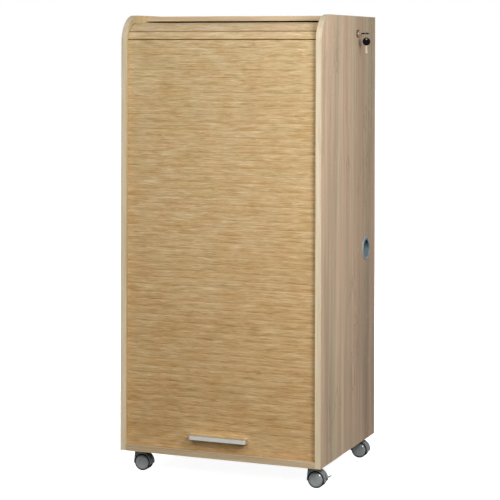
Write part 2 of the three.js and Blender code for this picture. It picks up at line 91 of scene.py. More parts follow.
# The outlet flange's inner rim, as a share of its outer radius
OUTLET_BORE_SHARE = 0.8

# Camera: level, aimed at the carcass's upright axis, with the picture shifted down
CAMERA_AZIMUTH = math.radians(21.77)
CAMERA_DISTANCE = 4.259
CAMERA_HEIGHT = 0.9756
CAMERA_LENS = 122.41
CAMERA_SHIFT = -0.3963
CAMERA_ROLL = math.radians(-0.148)
CAMERA_SIDE_SHIFT = -0.0022
CAMERA_SENSOR = 36
# Moved this far from its stand, the camera begins to lose its downward shift; at twice this it has none
CAMERA_STAY = 0.05

# Lights: where each stands, the point it faces, its side, and its power in watts
FRONT_LIGHT = {"place": (0.1, -2.3, 2.0), "aim": (0, 0, 0.6), "side": 2.0, "power": 34}
SIDE_LIGHT = {"place": (1.27, -1.03, 1.15), "aim": (0, 0, 0.6), "side": 0.5, "power": 18}
REAR_LIGHT = {"place": (-1.8, 2.4, 2.0), "aim": (0, 0, 0.5), "side": 1.2, "power": 56}

# The world's strength: as light on surfaces, in mirror reflections, and as the backdrop
AMBIENT = 0.18
AMBIENT_IN_REFLECTIONS = 0.6
AMBIENT_IN_VIEW = 1.0

# The floor's own glow, seen by the camera and in mirror reflections
FLOOR_GLOW = 0.93
FLOOR_GLOW_IN_REFLECTIONS = 0.5
FLOOR_HALF_SIDE = 40


# ---------------------------------------------------------------- materials


def rgb(code):
    """A linear colour from a display hex code."""
    parts = [int(code[i : i + 2], 16) / 255 for i in (0, 2, 4)]
    return tuple(c / 12.92 if c < 0.04045 else ((c + 0.055) / 1.055) ** 2.4 for c in parts) + (1,)


def along(axis, lengthwise, across):
    """Noise cells per metre, for a grain that runs along one axis."""
    return tuple(lengthwise if name == axis else across for name in "xyz")


class Look:
    """One material. Each call adds nodes and returns an output that feeds the next."""

    def __init__(self, name):
        self.material = bpy.data.materials.new(name)
        self.material.use_nodes = True
        self.tree = self.material.node_tree
        self.surface = self.tree.nodes["Principled BSDF"]
        self.place = self.add("TexCoord").outputs["Object"]

    def add(self, kind, inputs=None, **settings):
        node = self.tree.nodes.new("ShaderNode" + kind)
        for key, value in settings.items():
            setattr(node, key, value)
        for key, value in (inputs or {}).items():
            self.feed(node.inputs[key], value)
        return node

    def feed(self, socket, value):
        if isinstance(value, bpy.types.NodeSocket):
            self.tree.links.new(value, socket)
        else:
            socket.default_value = value

    def noise(self, cells, detail=3, rough=0.55, twist=0.0, at=None):
        at = self.place if at is None else at
        scaled = self.add("Mapping", {"Vector": at, "Scale": cells}).outputs[0]
        settings = {"Vector": scaled, "Scale": 1, "Detail": detail, "Roughness": rough, "Distortion": twist}
        return self.add("TexNoise", settings).outputs[0]

    def calc(self, operation, a, b=0.0):
        return self.add("Math", {0: a, 1: b}, operation=operation).outputs[0]

    def vector(self, operation, a, b=None, output=0):
        inputs = {0: a} if b is None else {0: a, 1: b}
        return self.add("VectorMath", inputs, operation=operation).outputs[output]

    def part(self, axis, at=None):
        """One coordinate of the place, or of another vector."""
        return self.add("SeparateXYZ", {0: self.place if at is None else at}).outputs[axis]

    def blend(self, *weighted):
        """The weighted sum of several outputs."""
        total = 0.0
        for value, weight in weighted:
            total = self.calc("ADD", self.calc("MULTIPLY", value, weight), total)
        return total

    def spread(self, value, low, high, to_low=0.0, to_high=1.0):
        inputs = {"Value": value, "From Min": low, "From Max": high, "To Min": to_low, "To Max": to_high}
        return self.add("MapRange", inputs).outputs["Result"]

    def ramp(self, value, *stops):
        node = self.add("ValToRGB", {"Fac": value})
        ends = node.color_ramp.elements
        ends[0].position, ends[0].color = stops[0]
        ends[1].position, ends[1].color = stops[-1]
        for position, colour in stops[1:-1]:
            ends.new(position).color = colour
        return node.outputs["Color"]

    def mix(self, factor, a, b, blend="MIX"):
        return self.add("Mix", {0: factor, 6: a, 7: b}, data_type="RGBA", blend_type=blend).outputs[2]

    def height_share(self, node):
        """0 at the foot of a CAD node, 1 at its top."""
        low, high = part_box(node)
        return self.spread(self.part("Z"), low.z, high.z)

    def swayed(self, axis, drift, reach):
        """The place, swayed along one axis by a slow noise."""
        shift = self.calc("MULTIPLY", self.calc("SUBTRACT", drift, 0.5), reach)
        return self.vector("ADD", self.place, self.add("CombineXYZ", {axis: shift}).outputs[0])

    def stain(self, colour, mask, strength, code, blend="MIX"):
        """Another colour laid over where the mask is 1."""
        return self.mix(self.calc("MULTIPLY", mask, strength), colour, rgb(code), blend)

    def done(self, colour, roughness, height=None, depth=0.0, extra=None):
        self.feed(self.surface.inputs["Base Color"], colour)
        self.feed(self.surface.inputs["Roughness"], roughness)
        for key, value in (extra or {}).items():
            self.feed(self.surface.inputs[key], value)
        if height is not None:
            bump = self.add("Bump", {"Height": height, "Distance": depth, "Strength": 1.0})
            self.feed(self.surface.inputs["Normal"], bump.outputs[0])
        return self.material


# Tint of the shutter foil at the foot and at the top of its front run: warmer and a little darker towards
# the foot
FOOT_TINT = (1.05, 0.95, 0.84, 1)
TOP_TINT = (1, 1, 1, 1)
# Painted sheen on the slats in the bend and behind it, where they face up: a paler, bluer tint, and the
# height over which it sets in
BEND_PAINTED_SHEEN = (1.05, 1.10, 1.26, 1)
BEND_SHEEN_ONSET = 20 * MM

PLASTIC_GRAIN = (900, 900, 900)
PLASTIC_CLOUDS = (60, 60, 60)


def golden_oak():
    """Shutter foil: short fine streaks along the slats, with warmer and greener patches and dark specks."""
    look = Look("golden_oak_foil")
    at = look.swayed("Z", look.noise((13, 13, 20), 2), 9 * MM)
    streaks = look.noise(along("x", 19, 290), 3, 0.65, at=at)
    fine = look.noise(along("x", 38, 560), 3, 0.6, at=at)
    clouds = look.noise((3, 3, 9), 2, 0.5)
    tone = look.blend((streaks, 0.5), (fine, 0.4), (clouds, 0.10))
    colour = look.ramp(
        tone,
        (0.36, rgb("ac9062")),
        (0.46, rgb("c2a77a")),
        (0.54, rgb("ceb489")),
        (0.64, rgb("dfcaa2")),
    )
    warmth = look.spread(look.noise((16, 16, 26), 2, 0.5), 0.44, 0.60)
    colour = look.stain(colour, warmth, 0.2, "f0cba4", "MULTIPLY")
    green = look.spread(look.noise((11, 11, 24), 2, 0.5, 0.4), 0.52, 0.64)
    colour = look.stain(colour, green, 0.2, "e6e0b0", "MULTIPLY")
    pores = look.spread(look.noise(along("x", 42, 420), 2, at=at), 0.63, 0.75)
    colour = look.stain(colour, pores, 0.45, "8f6c40")
    flecks = look.spread(look.noise(along("x", 50, 380), 2, at=at), 0.62, 0.74)
    colour = look.stain(colour, flecks, 0.45, "ecd6ac")
    height_tint = look.mix(look.height_share("shutter_front"), FOOT_TINT, TOP_TINT)
    # Painted sheen: from the foot of the bend up, the slats are tinted paler and bluer, as if catching the
    # light from above
    bend_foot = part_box("bend_slat_1")[0].z
    in_bend = look.spread(look.part("Z"), bend_foot, bend_foot + BEND_SHEEN_ONSET)
    colour = look.mix(1.0, colour, look.mix(in_bend, height_tint, BEND_PAINTED_SHEEN), "MULTIPLY")
    roughness = look.spread(tone, 0.4, 0.6, 0.66, 0.54)
    height = look.blend((streaks, 0.6), (fine, 0.4), (pores, -0.5))
    return look.done(colour, roughness, height, 0.25 * MM, {"Specular IOR Level": 0.15})


def sonoma_oak(name, axis, lighter=1.0):
    """Carcass foil: broad pinkish and olive staves, fine streaks, pale flecks and winding cracks."""
    look = Look(name)
    at = look.swayed("Y" if axis == "z" else "Z", look.noise(along(axis, 1.5, 5), 2), 34 * MM)
    tint = look.spread(look.noise(along(axis, 0.8, 15), 2, at=at), 0.44, 0.56)
    base = look.mix(tint, rgb("d2b498"), rgb("cab697"))
    if axis == "z":
        base = look.mix(front_stave(look, at), base, rgb("d0b598"))
        base = look.mix(inner_face(look), base, rgb("d2ba8c"))
    bands = look.noise(along(axis, 0.7, 17), 2, 0.5, at=at)
    narrow = look.noise(along(axis, 2, 62), 3, 0.5, at=at)
    streaks = look.noise(along(axis, 9, 330), 4, 0.6, at=at)
    tone = look.blend((bands, 0.40), (narrow, 0.32), (streaks, 0.28))
    shade = look.spread(tone, 0.40, 0.60, 0.80 * lighter, 1.17 * lighter)
    if axis == "z":
        shade = look.calc("MULTIPLY", shade, stave_shade(look, at))
    colour = look.mix(1.0, base, shade, "MULTIPLY")
    patches = look.spread(look.noise(along(axis, 3.5, 9), 2), 0.55, 0.64)
    if axis == "z":
        patches = look.calc("MAXIMUM", patches, figured_spots(look))
    winding = look.noise(along(axis, 7, 38), 3, 0.6, 0.6, at=at)
    line = look.spread(look.calc("ABSOLUTE", look.calc("SUBTRACT", winding, 0.5)), 0.0, 0.022, 1.0, 0.0)
    crack = look.calc("MULTIPLY", line, patches)
    colour = look.stain(colour, crack, 0.6, "806a4d")
    pale = look.spread(look.noise(along(axis, 46, 150), 2, 0.5, 0.8), 0.60, 0.70)
    flecked = look.calc("MULTIPLY", pale, look.spread(look.noise(along(axis, 3, 14), 1), 0.48, 0.58))
    colour = look.stain(colour, flecked, 0.45, "e2d0ae")
    roughness = look.spread(tone, 0.4, 0.6, 0.64, 0.5)
    height = look.blend((streaks, 0.5), (crack, -0.8), (flecked, 0.3))
    return look.done(colour, roughness, height, 0.2 * MM, {"Specular IOR Level": 0.3})


def grey(value):
    return value, value, value, 1


def panel_share(look, at):
    """0 at the front edge of a side panel, 1 at its back edge."""
    low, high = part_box("side_panel_right")
    return look.spread(look.part("Y", at), low.y, high.y)


def front_stave(look, at):
    """1 on the plain pinkish stave behind a side panel's front edge."""
    return look.spread(panel_share(look, at), 0.17, 0.20, 1.0, 0.0)


def inner_face(look):
    """1 on everything but a side panel's outer face."""
    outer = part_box("side_panel_right")[1].x
    return look.spread(look.calc("ABSOLUTE", look.part("X")), outer - 1.5 * MM, outer - 1 * MM, 1.0, 0.0)


def spot(look, depth_share, height_share, reach_y, reach_z):
    """1 inside an upright oval on the side panels, fading to 0 at its rim."""
    low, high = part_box("side_panel_right")
    centre = (0, low.y + depth_share * (high.y - low.y), low.z + height_share * (high.z - low.z))
    moved = look.vector("SUBTRACT", look.place, centre)
    shares = look.vector("MULTIPLY", moved, (0, 1 / reach_y, 1 / reach_z))
    distance = look.vector("LENGTH", shares, output="Value")
    return look.spread(distance, 0.55, 1.0, 1.0, 0.0)


def figured_spots(look):
    """Where the printed oak shows winding cracks: high at the front, and down the back half."""
    high = spot(look, 0.26, 0.90, 34 * MM, 110 * MM)
    back = spot(look, 0.82, 0.68, 46 * MM, 200 * MM)
    low = spot(look, 0.60, 0.34, 50 * MM, 120 * MM)
    return look.calc("MAXIMUM", look.calc("MAXIMUM", high, back), low)


def stave_shade(look, at):
    """How light each stave of an upright panel is, from its front edge to its back edge, darker over a low
    oval at the back, with painted light that grows towards the foot.
    """
    shade = look.ramp(
        panel_share(look, at),
        (0.00, grey(1.00)),
        (0.18, grey(0.98)),
        (0.20, grey(0.88)),
        (0.23, grey(1.00)),
        (0.42, grey(1.02)),
        (0.60, grey(1.00)),
        (0.74, grey(0.96)),
        (0.84, grey(0.86)),
        (0.92, grey(0.87)),
        (1.00, grey(0.95)),
    )
    # Darker over a low oval towards the back of the panel
    darker_low_back = look.spread(spot(look, 0.86, 0.22, 110 * MM, 330 * MM), 0, 1, 1.0, 0.86)
    # Painted light: the staves grow paler towards the foot
    painted_light_low = look.spread(look.height_share("side_panel_right"), 0, 1, 1.10, 1.0)
    return look.calc("MULTIPLY", look.calc("MULTIPLY", shade, darker_low_back), painted_light_low)


def edge_band(name, axis, pale, deep):
    """Thin pale edge strip with a faint lengthwise print; upright strips get painted light that grows
    towards the foot.
    """
    look = Look(name)
    streaks = look.noise(along(axis, 14, 520), 3, 0.6)
    bands = look.noise(along(axis, 3, 90), 2)
    tone = look.blend((streaks, 0.5), (bands, 0.5))
    colour = look.ramp(tone, (0.38, rgb(deep)), (0.62, rgb(pale)))
    scuffs = look.spread(look.noise((60, 60, 60), 4, 0.7), 0.62, 0.75)
    colour = look.stain(colour, scuffs, 0.15, "a98f6b")
    if axis == "z":
        # Painted light: upright strips grow paler towards the foot
        painted_light_low = look.spread(look.height_share("side_panel_right"), 0, 1, 1.22, 0.94)
        colour = look.mix(1.0, colour, painted_light_low, "MULTIPLY")
    return look.done(colour, look.spread(tone, 0.4, 0.6, 0.55, 0.42), streaks, 0.12 * MM)


def light_oak():
    """Foil of the top and bottom boards: light oak with its grain along x, and painted shade on every face
    that faces down.
    """
    look = Look("light_oak_level")
    at = look.swayed("Y", look.noise(along("x", 2.5, 10), 2), 14 * MM)
    streaks = look.noise(along("x", 9, 260), 4, 0.6, at=at)
    bands = look.noise(along("x", 1.5, 30), 3, 0.5, at=at)
    tone = look.blend((streaks, 0.55), (bands, 0.45))
    colour = look.ramp(
        tone,
        (0.40, rgb("b59b78")),
        (0.50, rgb("ccb592")),
        (0.60, rgb("dcc9a8")),
    )
    pores = look.spread(look.noise(along("x", 40, 700), 2, at=at), 0.62, 0.74)
    colour = look.stain(colour, pores, 0.4, "94795a")
    # Painted shade: faces that face down turn dark brown
    facing = look.part("Z", look.add("NewGeometry").outputs["Normal"])
    colour = look.mix(look.spread(facing, -0.6, -0.9), colour, rgb("2e241a"))
    roughness = look.spread(tone, 0.4, 0.6, 0.72, 0.6)
    return look.done(colour, roughness, streaks, 0.2 * MM, {"Specular IOR Level": 0.15})


def pressed_board():
    """Back panel: thin board with short pressed fibres and a soft mottle."""
    look = Look("pressed_board")
    fibres = look.noise((420, 420, 160), 4, 0.65, 0.8)
    mottle = look.noise((14, 14, 14), 4, 0.6)
    tone = look.blend((fibres, 0.75), (mottle, 0.25))
    colour = look.ramp(tone, (0.36, rgb("9d8160")), (0.50, rgb("b69a74")), (0.64, rgb("c9af8a")))
    return look.done(colour, look.spread(fibres, 0.3, 0.7, 0.85, 0.62), fibres, 0.15 * MM)


def woven_backing():
    """The cloth the slats are glued to."""
    look = Look("woven_backing")
    thread = {"Vector": look.place, "Scale": 900.0, "Distortion": 0.6, "Detail": 1.0}
    warp = look.add("TexWave", thread, bands_direction="X").outputs["Fac"]
    weft = look.add("TexWave", thread, bands_direction="Z").outputs["Fac"]
    weave = look.calc("MAXIMUM", warp, weft)
    colour = look.ramp(weave, (0.2, rgb("57493a")), (0.9, rgb("9a8a70")))
    return look.done(colour, 0.95, weave, 0.25 * MM, {"Sheen Weight": 0.3})


def brushed_metal(name, pale, deep, cells, roughness, metallic=1.0):
    """Metal with fine lines along the direction it was drawn or turned in."""
    look = Look(name)
    lines = look.noise(cells, 4, 0.6)
    dull = look.noise((45, 45, 45), 4, 0.6)
    tone = look.blend((lines, 0.6), (dull, 0.4))
    colour = look.ramp(tone, (0.36, rgb(deep)), (0.64, rgb(pale)))
    rough = look.spread(tone, 0.35, 0.65, roughness + 0.1, roughness - 0.06)
    return look.done(colour, rough, lines, 0.05 * MM, {"Metallic": metallic})


def plastic_tones(look, pale, deep):
    """The surface grain, the slow clouds and the colour that every plastic here starts from."""
    speckle = look.noise(PLASTIC_GRAIN, 3, 0.6)
    clouds = look.noise(PLASTIC_CLOUDS, 3, 0.5)
    tone = look.blend((speckle, 0.35), (clouds, 0.65))
    return speckle, clouds, look.ramp(tone, (0.36, rgb(deep)), (0.64, rgb(pale)))


def moulded(name, pale, deep, wear, roughness, coat=0.0, gloss=0.5):
    """Moulded plastic: fine surface grain, slow tone change, and spots rubbed to the wear colour."""
    look = Look(name)
    speckle, clouds, colour = plastic_tones(look, pale, deep)
    rubbed = look.spread(look.noise((130, 130, 40), 4, 0.7), 0.60, 0.72)
    colour = look.stain(colour, rubbed, 0.4, wear)
    rough = look.spread(clouds, 0.35, 0.65, roughness - 0.05, roughness + 0.07)
    rough = look.calc("ADD", rough, look.calc("MULTIPLY", rubbed, 0.08))
    extra = {"Coat Weight": coat, "Coat Roughness": 0.12, "Specular IOR Level": gloss}
    return look.done(colour, rough, speckle, 0.03 * MM, extra)


def outlet_plastic():
    """Grey plastic of the cable outlet, with painted shade down its bore, darkest at its top."""
    look = Look("grey_outlet_plastic")
    speckle, clouds, colour = plastic_tones(look, "a3a8a9", "8b9092")
    low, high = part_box("outlet_sleeve")
    moved = look.vector("SUBTRACT", look.place, (low + high) / 2)
    radius = look.vector("LENGTH", look.vector("MULTIPLY", moved, (0, 1, 1)), output="Value")
    bore = (high.z - low.z) / 2 * OUTLET_BORE_SHARE
    inside = look.spread(radius, bore + 0.1 * MM, bore - 0.3 * MM)
    height = look.spread(look.part("Z", moved), -bore, bore)
    # Painted shade down the bore: dark, and darkest towards its top
    dark = look.ramp(height, (0.4, rgb("7d929c")), (0.8, rgb("3c5464")))
    colour = look.mix(inside, colour, dark)
    return look.done(colour, look.spread(clouds, 0.35, 0.65, 0.36, 0.48), speckle, 0.03 * MM)


LOOKS = {
    "side_decor": sonoma_oak("sonoma_oak_upright", "z"),
    "edge_upright": edge_band("edge_band_upright", "z", "dccdb2", "cab897"),
    "edge_level": edge_band("edge_band_level", "x", "d4bc99", "b9a07b"),
    "top_decor": light_oak(),
    "inside_decor": sonoma_oak("sonoma_oak_level", "x", 1.05),
    "shutter_decor": golden_oak(),
    "canvas": woven_backing(),
    "hardboard": pressed_board(),
    "aluminium": brushed_metal("anodised_aluminium", "e6e6e3", "cfd0cf", along("x", 12, 900), 0.42),
    "steel": brushed_metal("zinc_plated_steel", "c9ccd0", "9a9ea3", (300, 300, 300), 0.34),
    "lock_metal": brushed_metal("aged_bronze_plating", "7b6640", "4a3b22", (500, 700, 700), 0.36),
    "key_metal": brushed_metal("nickel_plating", "e8d6cb", "c8b6aa", (260, 900, 900), 0.42, metallic=0.45),
    "key_plastic": moulded("black_gloss_plastic", "060807", "020303", "0d0f0e", 0.3, gloss=0.12),
    "outlet_plastic": outlet_plastic(),
    "outlet_cap_plastic": moulded("blue_grey_outlet_plastic", "5f7c86", "48636e", "7d959c", 0.42),
    "hood_plastic": moulded("castor_grey_nylon", "9a9da3", "83878c", "aeb0b4", 0.34, gloss=0.35),
    "wheel_plastic": moulded("castor_disc_nylon", "a3a9a7", "8e9492", "b4b9b7", 0.24, coat=0.7, gloss=0.6),
}
TREAD = moulded("castor_tread_dark", "101212", "060707", "2a2a28", 0.55, gloss=0.1)
PLUG_FACE = brushed_metal("satin_nickel_plug", "d9ceb4", "b3a88d", (300, 300, 300), 0.5, metallic=0.5)
RING_WIRE = brushed_metal("dull_steel_wire", "9a928a", "6f6962", (300, 300, 300), 0.5, metallic=0.8)


def look_of(node):
    """The material of a CAD node: its slot's look, but for the lock plug and the edge bands."""
    slot = SLOT_OF[node]
    if node == "lock_plug":
        return PLUG_FACE
    if slot == "edge_decor":
        return LOOKS["edge_upright" if node.startswith("side") else "edge_level"]
    return LOOKS[slot]


# ---------------------------------------------------------------- mesh tools

# Angles between faces: below the first they are one face, above the second their edge is rounded
FLAT_ANGLE = math.radians(0.5)
ROUNDED_ANGLE = math.radians(28)
# Pieces made here from scratch are shaded sharp at edges steeper than this
SHARP_ANGLE = math.radians(38)

def finish_piece(name, bm, materials, level_normals=True):
    """Turns a bmesh into an object with smooth shading, weighted by face or split at its sharp edges."""
    bmesh.ops.recalc_face_normals(bm, faces=bm.faces)
    mesh = bpy.data.meshes.new(name)
    bm.to_mesh(mesh)
    bm.free()
    for material in materials:
        mesh.materials.append(material)
    mesh.polygons.foreach_set("use_smooth", [True] * len(mesh.polygons))
    piece = bpy.data.objects.new(name, mesh)
    bpy.context.scene.collection.objects.link(piece)
    if level_normals:
        piece.modifiers.new("level_normals", "WEIGHTED_NORMAL")
    else:
        mesh.set_sharp_from_angle(angle=SHARP_ANGLE)
    return piece


def stand_for(piece, node):
    """The piece rides where its CAD node rides, and hides it."""
    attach(piece, NODES[node]["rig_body"])
    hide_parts(node)


def refined(node, radius, segments=2):
    """The CAD node's own shape with its sharp edges rounded."""
    bm = bmesh.new()
    bm.from_mesh(NODES[node].data)
    bmesh.ops.remove_doubles(bm, verts=bm.verts, dist=2e-6)
    bmesh.ops.dissolve_limit(bm, angle_limit=FLAT_ANGLE, verts=bm.verts, edges=bm.edges)
    sharp = [e for e in bm.edges if len(e.link_faces) == 2 and e.calc_face_angle(0) > ROUNDED_ANGLE]
    bmesh.ops.bevel(
        bm, geom=sharp, offset=radius, offset_type="OFFSET", segments=segments,
        profile=0.5, affect="EDGES", clamp_overlap=True,
    )
    for face in bm.faces:
        face.material_index = 0
    stand_for(finish_piece(node + "_form", bm, [look_of(node)]), node)


def bar(bm, outline, x0, x1):
    """A closed bar along x over a (y, z) outline."""
    ends = [[bm.verts.new((x, y, z)) for y, z in outline] for x in (x0, x1)]
    count = len(outline)
    for i in range(count):
        j = (i + 1) % count
        bm.faces.new((ends[0][i], ends[0][j], ends[1][j], ends[1][i]))
    bm.faces.new(ends[0])
    bm.faces.new(reversed(ends[1]))


def lathe(profile, place, segments, looks=None):
    """Turns a profile of (radius, distance) points; place gives the point for (a, b, distance)."""
    bm = bmesh.new()
    angles = [2 * math.pi * k / segments for k in range(segments)]
    circle = [(math.cos(t), math.sin(t)) for t in angles]
    rings = []
    for radius, distance in profile:
        turns = circle if radius > 0 else [(0, 0)]
        rings.append([bm.verts.new(place(radius * a, radius * b, distance)) for a, b in turns])
    for i, (one, two) in enumerate(zip(rings, rings[1:])):
        for k in range(segments):
            n = (k + 1) % segments
            corners = [one[k % len(one)], one[n % len(one)], two[n % len(two)], two[k % len(two)]]
            corners = list(dict.fromkeys(corners))
            if len(corners) > 2:
                face = bm.faces.new(corners)
                face.material_index = looks[i] if looks else 0
    return bm


# ---------------------------------------------------------------- shutter

SLAT_PITCH = 18 * MM
SLAT_JOINT = 0.16 * MM
SLAT_EDGE_R = 0.3 * MM
BACKING_T = 0.8 * MM


def slat_outline(y0, y1, z0, z1):
    """A slat with its two front edges rounded."""
    points = [(y1, z0)]
    centre_y = y0 + SLAT_EDGE_R
    for centre_z, start in ((z0 + SLAT_EDGE_R, 270), (z1 - SLAT_EDGE_R, 180)):
        for step in range(4):
            turn = math.radians(start - 30 * step)
            y = centre_y + SLAT_EDGE_R * math.cos(turn)
            points.append((y, centre_z + SLAT_EDGE_R * math.sin(turn)))
    points.append((y1, z1))
    return points


def shutter_front():
    """The front run's slats on their cloth."""
    low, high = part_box("shutter_front")
    count = round((high.z - low.z) / SLAT_PITCH)
    pitch = (high.z - low.z) / count
    back = high.y - BACKING_T
    bm = bmesh.new()
    for i in range(count):
        z0 = low.z + i * pitch
        bar(bm, slat_outline(low.y, back, z0 + SLAT_JOINT / 2, z0 + pitch - SLAT_JOINT / 2), low.x, high.x)
    slats = finish_piece("shutter_slats", bm, [LOOKS["shutter_decor"]], level_normals=False)
    stand_for(slats, "shutter_front")
    bm = bmesh.new()
    bar(bm, [(back, low.z), (high.y, low.z), (high.y, high.z), (back, high.z)], low.x, high.x)
    backing = finish_piece("shutter_backing", bm, [LOOKS["canvas"]], level_normals=False)
    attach(backing, "carcass")
    for piece in (slats, backing):
        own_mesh(piece)


# ---------------------------------------------------------------- castors

# A wheel's disc: its radius as a share of the wheel's, its dome, and the width of its sloping rim
DISC_SHARE = 0.88
DISC_DOME = 0.4 * MM
DISC_SHOULDER = 3.4 * MM
# The sloping rim: how far out, as a share of its width, and how steep in degrees up to there
SHOULDER_TILTS = (
    (0.06, 12), (0.12, 24), (0.20, 33), (0.35, 38), (0.50, 40),
    (0.65, 42), (0.80, 44), (0.90, 50), (1.00, 60),
)
# The tread: the groove between disc and tread, and the tread's two rounded edges
GROOVE_W = 0.1 * MM
GROOVE_DEPTH = 3.8 * MM
TREAD_OUTER_R = 1.8 * MM
TREAD_RISE = 0.9 * MM
TREAD_INNER_R = 1.2 * MM
# The axle's socket: play around it and past its end, and the width of the hub's face
AXLE_PLAY = 0.06 * MM
AXLE_END_PLAY = 0.4 * MM
HUB_W = 1.5 * MM
WHEEL_SEGMENTS = 72


def wheel(node):
    """A domed grey disc sunk in a dark tread with rounded shoulders."""
    low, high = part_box(node)
    axle_low, axle_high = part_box(node.replace("wheel_outer", "axle").replace("wheel_inner", "axle"))
    centre = (low + high) / 2
    radius = (high.z - low.z) / 2
    side = -1 if "outer" in node else 1
    face, inner = (low.y, high.y) if side < 0 else (high.y, low.y)
    disc = radius * DISC_SHARE
    bore = (axle_high.z - axle_low.z) / 2 + AXLE_PLAY
    bore_end = (axle_low.y if side < 0 else axle_high.y) + side * AXLE_END_PLAY

    shoulder = disc - DISC_SHOULDER
    profile = [(shoulder * share, face - side * DISC_DOME * share**2) for share in (0, 0.35, 0.7, 1)]
    drop, last = DISC_DOME, 0.0
    for share, tilt in SHOULDER_TILTS:
        drop += (share - last) * DISC_SHOULDER * math.tan(math.radians(tilt))
        last = share
        profile.append((shoulder + DISC_SHOULDER * share, face - side * drop))
    disc_bands = len(profile)
    groove = face - side * GROOVE_DEPTH
    profile.append((disc + GROOVE_W, groove))
    tread_top = groove + side * TREAD_RISE
    for turn in range(0, 91, 15):
        t = math.radians(turn)
        out = radius - TREAD_OUTER_R * (1 - math.sin(t))
        profile.append((out, tread_top - side * TREAD_OUTER_R * (1 - math.cos(t))))
    for turn in range(0, 91, 30):
        t = math.radians(turn)
        out = radius - TREAD_INNER_R * (1 - math.cos(t))
        profile.append((out, inner + side * TREAD_INNER_R * (1 - math.sin(t))))
    profile += [(bore + HUB_W, inner), (bore, inner), (bore, bore_end), (0, bore_end)]
    looks = [0] * disc_bands + [1] * (len(profile) - 1 - disc_bands)

    def place(a, b, distance):
        return centre.x + a, distance, centre.z + b

    bm = lathe(profile, place, WHEEL_SEGMENTS, looks)
    stand_for(finish_piece(node + "_form", bm, [LOOKS["wheel_plastic"], TREAD], level_normals=False), node)


def castors():
    for name in CASTORS:
        refined("stem_" + name, 0.3 * MM)
        refined("hood_" + name, 0.9 * MM, 4)
        refined("axle_" + name, 0.25 * MM)
        wheel("wheel_outer_" + name)
        wheel("wheel_inner_" + name)
    for name in BRAKED_CASTORS:
        refined("brake_" + name, 0.45 * MM, 3)


# ---------------------------------------------------------------- lock and keys

RING_AROUND = 96
RING_SECTION = 12

def key_ring():
    """The ring of round wire that both key bows hang on."""
    low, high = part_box("key_ring")
    centre = (low + high) / 2
    wire = (high.x - low.x) / 2
    radius = (high.z - low.z) / 2 - wire
    bm = bmesh.new()
    rings = []
    for k in range(RING_AROUND):
        t = 2 * math.pi * k / RING_AROUND
        ring = []
        for m in range(RING_SECTION):
            s = 2 * math.pi * m / RING_SECTION
            r = radius + wire * math.cos(s)
            point = (centre.x + wire * math.sin(s), centre.y + r * math.cos(t), centre.z + r * math.sin(t))
            ring.append(bm.verts.new(point))
        rings.append(ring)
    for ring, following in zip(rings, rings[1:] + rings[:1]):
        for m in range(RING_SECTION):
            n = (m + 1) % RING_SECTION
            bm.faces.new((ring[m], ring[n], following[n], following[m]))
    stand_for(finish_piece("key_ring_form", bm, [RING_WIRE], level_normals=False), "key_ring")


def lock_and_keys():
    refined("lock_body", 0.2 * MM)
    refined("lock_rosette", 0.5 * MM, 3)
    for name in ("lock_plug", "lock_cam", "lock_cam_nut"):
        refined(name, 0.25 * MM)
    for name in ("key_blade", "spare_key_blade"):
        refined(name, 0.12 * MM)
    for name in ("key_bow", "spare_key_bow"):
        refined(name, 0.7 * MM, 4)
    key_ring()


# ---------------------------------------------------------------- cable outlet

# The sleeve inside its flange: how much smaller the tube and its bore are in radius, and the cap's seat
TUBE_SETBACK = 4.05 * MM
BORE_SETBACK = 7.5 * MM
CAP_PLAY = 0.2 * MM
OUTLET_SEGMENTS = 72

def outlet_sleeve():
    """The sleeve with its flange rounded over like a bead."""
    low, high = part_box("outlet_sleeve")
    centre = (low + high) / 2
    outer = (high.z - low.z) / 2
    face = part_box("side_panel_right")[1].x
    rim = outer * OUTLET_BORE_SHARE
    tube, bore = outer - TUBE_SETBACK, outer - BORE_SETBACK
    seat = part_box("outlet_cap")[0].x - CAP_PLAY
    middle, reach = (outer + rim) / 2, (outer - rim) / 2
    bead = []
    for turn in range(0, 181, 15):
        t = math.radians(turn)
        bead.append((middle + reach * math.cos(t), face + (high.x - face) * math.sin(t)))
    profile = bead + [(rim, seat), (bore, seat), (bore, low.x), (tube, low.x), (tube, face), bead[0]]

    def place(a, b, distance):
        return distance, centre.y + a, centre.z + b

    bm = lathe(profile, place, OUTLET_SEGMENTS)
    bmesh.ops.remove_doubles(bm, verts=bm.verts, dist=1e-6)
    sleeve = finish_piece("outlet_sleeve_form", bm, [look_of("outlet_sleeve")], level_normals=False)
    stand_for(sleeve, "outlet_sleeve")


# ---------------------------------------------------------------- carcass


# Edge radius and segments of each piece that keeps its CAD shape
CARCASS_ROUNDING = {
    "side_panel_left": (0.15 * MM, 2),
    "side_edging_left": (0.35 * MM, 3),
    "side_panel_right": (0.15 * MM, 2),
    "side_edging_right": (0.35 * MM, 3),
    "bottom_board": (0.2 * MM, 2),
    "top_board": (0.2 * MM, 2),
    "shelf_lower": (0.2 * MM, 2),
    "shelf_middle": (0.2 * MM, 2),
    "shelf_upper": (0.2 * MM, 2),
    "inner_top": (0.2 * MM, 2),
    "bottom_edging": (0.35 * MM, 3),
    "top_edging": (0.35 * MM, 3),
    "back_panel": (0.2 * MM, 2),
    "inner_back": (0.2 * MM, 2),
    "bend_slat_1": (0.8 * MM, 4),
    "bend_slat_2": (0.8 * MM, 4),
    "bend_slat_3": (0.8 * MM, 4),
    "bend_canvas": (0.1 * MM, 2),
    "shutter_top_run": (0.12 * MM, 2),
    "tail_bar": (0.4 * MM, 2),
    "outlet_cap": (0.35 * MM, 3),
    "lead_rail": (0.3 * MM, 2),
    "handle": (1.1 * MM, 4),
    "handle_screw_left": (0.25 * MM, 2),
    "handle_screw_right": (0.25 * MM, 2),
}


def carcass():
    for node, (radius, segments) in CARCASS_ROUNDING.items():
        refined(node, radius, segments)
    outlet_sleeve()


# ---------------------------------------------------------------- scene


